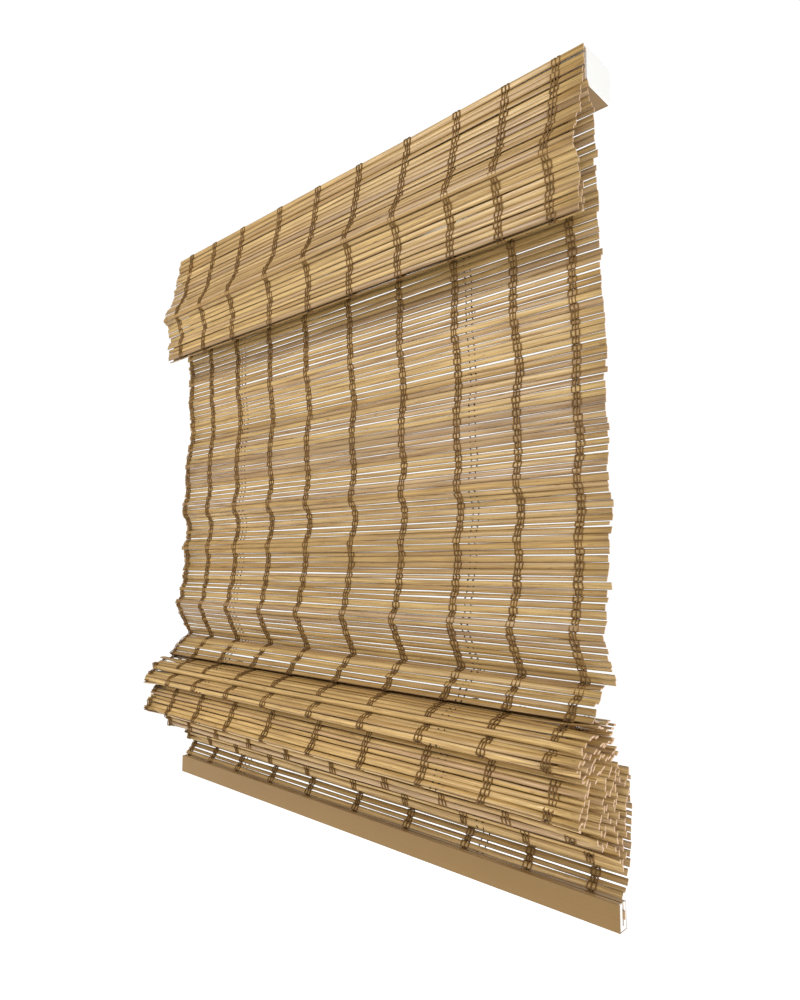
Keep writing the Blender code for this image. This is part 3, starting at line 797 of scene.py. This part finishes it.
# each stretch of cloth: the CAD node it stands for, its body, its kind,
# and its line in Y and Z from top to bottom, in mm
clothLines = [
    ("top_band", "headrail", "flat", [
        (-26.9, -4), (-26.9, -38), (-18.5, -55), (-14.5, -68), (-12.6, -88), (-9.8, -103),
        (-10.6, -124), (-9.2, -150), (-9.0, -176), (-6.0, -196), (-6.8, -220), (-5.5, -237.7),
    ]),
    ("valance_panel", "valance", "valance", [
        (-30.6, -1), (-32.5, -27), (-37.5, -52), (-43.5, -79), (-55.5, -105), (-57.5, -113),
        (-51.5, -119), (-47.0, -136), (-44.8, -144), (-47.0, -155), (-46.6, -179),
    ]),
    ("valance_hem", "valance", "valance", [
        (-45.0, -180.2), (-40.0, -178.5), (-38.4, -172), (-38.2, -160), (-38.6, -148),
    ]),
    ("panel_a_upper", "panel_a_upper", "flat", [
        (-5.5, -238), (-6.6, -249), (-3.0, -263), (0.0, -286), (1.5, -309), (-1.0, -328),
        (-3.0, -337),
    ]),
    ("panel_a_lower", "panel_a_lower", "flat", [
        (-3.0, -337), (-2.0, -352), (-1.0, -376), (1.0, -395), (0.8, -406), (-2.6, -417),
        (-3.6, -427), (-3.5, -436),
    ]),
    ("panel_b_upper", "panel_b_upper", "flat", [
        (-3.5, -436), (3.2, -448), (3.5, -468), (-4.0, -492), (-1.0, -510), (-4.0, -525),
        (-7.0, -535),
    ]),
    ("panel_b_lower", "panel_b_lower", "flat", [
        (-7.0, -535), (-6.0, -544), (-11.5, -556), (-13.0, -571), (-19.5, -581), (-17.5, -590),
        (-12.0, -601), (-6.5, -613), (1.0, -626), (3.5, -633),
    ]),
    ("shelf_upper", "shelf_upper", "shelf", [
        (3.5, -633), (-10.0, -640), (-14.5, -647), (-21.5, -650), (-26.0, -659), (-31.5, -663),
    ]),
    ("shelf_lower", "shelf_lower", "shelf", [
        (-31.5, -663), (-20.0, -664.5), (-8.0, -666.5), (3.5, -668),
    ]),
    ("loop_1_front", "loop_1_front", "stack", [
        (3.5, -668), (-14.0, -668.5), (-31.0, -669.5), (-45.0, -671.5), (-54.0, -676),
        (-58.5, -682), (-55.5, -687), (-61.0, -688.5), (-68.0, -692.5), (-73.5, -701),
    ]),
    ("loop_1_back", "loop_1_back", "stack", [
        (-73.5, -701), (-59.0, -704), (-50.0, -696), (-42.0, -688), (-20.0, -681.5), (0.5, -678),
    ]),
    ("loop_2_front", "loop_2_front", "stack", [
        (0.5, -678), (-24.0, -686), (-44.0, -699.5), (-53.0, -709), (-60.0, -722), (-66.0, -735),
        (-73.5, -744),
    ]),
    ("loop_2_back", "loop_2_back", "stack", [
        (-73.5, -744), (-62.5, -747), (-55.0, -734), (-48.0, -717), (-27.0, -702), (2.5, -691),
    ]),
    ("loop_3_front", "loop_3_front", "stack", [
        (2.5, -691), (-14.0, -711), (-27.0, -738), (-33.5, -759), (-29.5, -776),
    ]),
    ("loop_3_back", "loop_3_back", "stack", [
        (-29.5, -776), (-22.0, -766), (-13.5, -741), (-3.0, -717), (6.5, -704),
    ]),
    ("loop_4_front", "loop_4_front", "stack", [
        (6.5, -704), (1.5, -735), (-0.5, -770), (6.5, -804),
    ]),
    ("loop_4_back", "loop_4_back", "stack", [
        (6.5, -804), (13.0, -780), (19.0, -745), (24.5, -712),
    ]),
    ("hem_panel", "hem_panel", "open", [
        (24.5, -712), (27.5, -736), (27.6, -760), (24.6, -786), (17.0, -812), (5.25, -829.3),
    ]),
    ("hem_tongue", "hem_rail", "open", [(5.25, -829.6), (5.25, -847.0)]),
]
noStitch = ("valance_panel", "valance_hem", "hem_tongue")
phaseStep = 1.7  # shifts the crumpled ends from one stretch to the next, in radians

for order, (node, body, kind, line) in enumerate(clothLines):
    look = dict(usualCloth, **clothLook[kind], phase=phaseStep * order)
    path = smoothPath(np.array(line) / 1000.0)
    count = max(2, int(round(path[1][-1] * 1000.0 / look["pitch"])))
    slats, edges, place, normal = slatMesh("slats_" + node, path, count, look)
    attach(slats, body)
    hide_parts(node)
    columns = valanceColumns if kind == "valance" else mainColumns
    yarns = yarnMesh("yarns_" + node, columns, path, edges, place, normal, look)
    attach(yarns, body)
    if node not in noStitch:
        stitches = stitchMesh("stitches_" + node, path, edges, look)
        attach(stitches, body)
clothPieces = [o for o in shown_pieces() if o.name[:5] in ("slats", "yarns")]
print("cloth made:", sum(len(o.data.polygons) for o in clothPieces), "faces")

# CAD nodes that keep their shape
nodeFinish = [
    (tanWrap, ("headrail_channel", "headrail_cover", "rail_wrap")),
    (whitePlastic, ("end_cap_", "motor_housing", "cord_eyelet")),
    (railCore, ("rail_core",)),
    (hooks, ("valance_tape",)),
    (steel, ("ring_", "lift_shaft", "storage_axle", "power_spring", "shaft_bearing")),
    (greyPlastic, ("cord_spool", "output_drum", "storage_drum", "spool_cradle", "cord_anchor")),
]
for nodeName, obj in nodes.items():
    for material, starts in nodeFinish:
        if nodeName.startswith(starts):
            obj.data.materials.clear()
            obj.data.materials.append(material)
print("CAD nodes finished")


# floor and light
def floorMaterial():
    look = {
        "pale": (0.95, 0.95, 0.95, 1),
        "shade": (0.93, 0.93, 0.93, 1),
        "glow": (1.0, 0.998, 0.992, 1.0),
        "glowStrength": 0.62,
        "rough": 0.9,
    }
    material, tree, shader = newMaterial("paleFloor")
    cloud = placeGroup(tree, mottleGroup, Cloud=2.0, Dust=60.0).outputs["Cloud"]
    base = mixColour(tree, spread(tree, cloud, 0.3, 0.7), look["shade"], look["pale"])
    tree.links.new(base, shader.inputs["Base Color"])
    shader.inputs["Roughness"].default_value = look["rough"]
    shader.inputs["Emission Color"].default_value = look["glow"]
    shader.inputs["Emission Strength"].default_value = look["glowStrength"]
    return material


stageSize = {"floorAt": -1.75, "reach": 14.0}
r, zFloor = stageSize["reach"], stageSize["floorAt"]
floorPoints = np.array([(-r, -r, zFloor), (r, -r, zFloor), (r, r, zFloor), (-r, r, zFloor)])
floor = meshObject("paleFloor", floorPoints, [[0, 1, 2, 3]], [floorMaterial()], smooth=False)

# the background is brighter to the eye than the light that it gives
worldLook = {"colour": (1.0, 0.995, 0.985, 1.0), "given": 0.46, "seen": 1.05}
world = bpy.data.worlds.new("studioWorld")
scene.world = world
world.use_nodes = True
worldTree = world.node_tree
background = worldTree.nodes["Background"]
background.inputs["Color"].default_value = worldLook["colour"]
cameraRay = addNode(worldTree, "ShaderNodeLightPath").outputs["Is Camera Ray"]
strength = spread(worldTree, cameraRay, 0.0, 1.0, worldLook["given"], worldLook["seen"])
worldTree.links.new(strength, background.inputs["Strength"])


def softLight(name, place, aim, size, power, tint=(1.0, 1.0, 1.0)):
    # a square lamp at its place, turned so that it faces its aim
    data = bpy.data.lights.new(name, "AREA")
    data.shape = "SQUARE"
    data.size = size
    data.energy = power
    data.color = tint
    lamp = bpy.data.objects.new(name, data)
    offset = np.array(place) - np.array(aim)
    flatAway = math.hypot(offset[0], offset[1])
    lamp.location = place
    lamp.rotation_euler = (
        math.atan2(flatAway, offset[2]),
        0.0,
        math.atan2(offset[0], -offset[1]),
    )
    scene.collection.objects.link(lamp)


# place, aim, side length in metres, power in watts
clothMiddle = (0.0, 0.0, -0.4)
softLight("keyLight", (-0.9, -2.0, 1.3), clothMiddle, 1.2, 52.0, (1.0, 0.98, 0.95))
softLight("fillLight", (2.0, -1.8, 0.0), clothMiddle, 1.8, 9.0)
softLight("endLight", (2.2, -0.25, -0.5), (0.0, 0.0, -0.5), 0.8, 8.0)
softLight("backLight", (-0.8, 2.4, 0.8), clothMiddle, 1.8, 12.0)
print("floor and light made")

# bring the scene up to date
bpy.context.view_layer.update()
